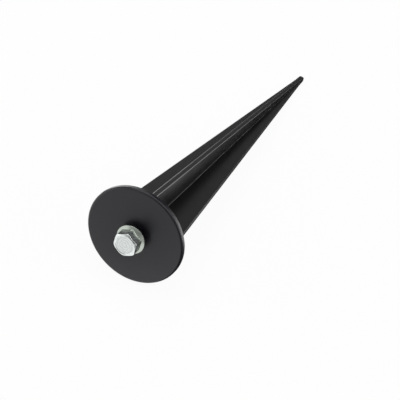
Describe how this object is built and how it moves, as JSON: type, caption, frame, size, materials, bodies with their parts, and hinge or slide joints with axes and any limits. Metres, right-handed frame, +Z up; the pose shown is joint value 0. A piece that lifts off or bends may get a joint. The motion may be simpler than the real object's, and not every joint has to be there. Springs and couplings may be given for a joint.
{
  "type": "ground spike",
  "caption": "Ground spike: a round plate over a tapering stake of four crossed vanes, with a hex flange bolt in a brass insert at the plate's centre.",
  "frame": {"origin": "on the floor under the middle of the spike as it lies", "axes": "+X along the spike from the bolt towards the tip, +Z up from the floor that it lies on"},
  "size_m": [0.2372, 0.06, 0.0597],
  "materials": {
    "black_plastic": "satin black moulded plastic",
    "zinc_plated_steel": "bright zinc plate",
    "insert_brass": "turned brass"
  },
  "bodies": {
    "root": {"spike": "black_plastic", "flange_bolt": "zinc_plated_steel", "threaded_insert": "insert_brass"}
  },
  "joints": []
}
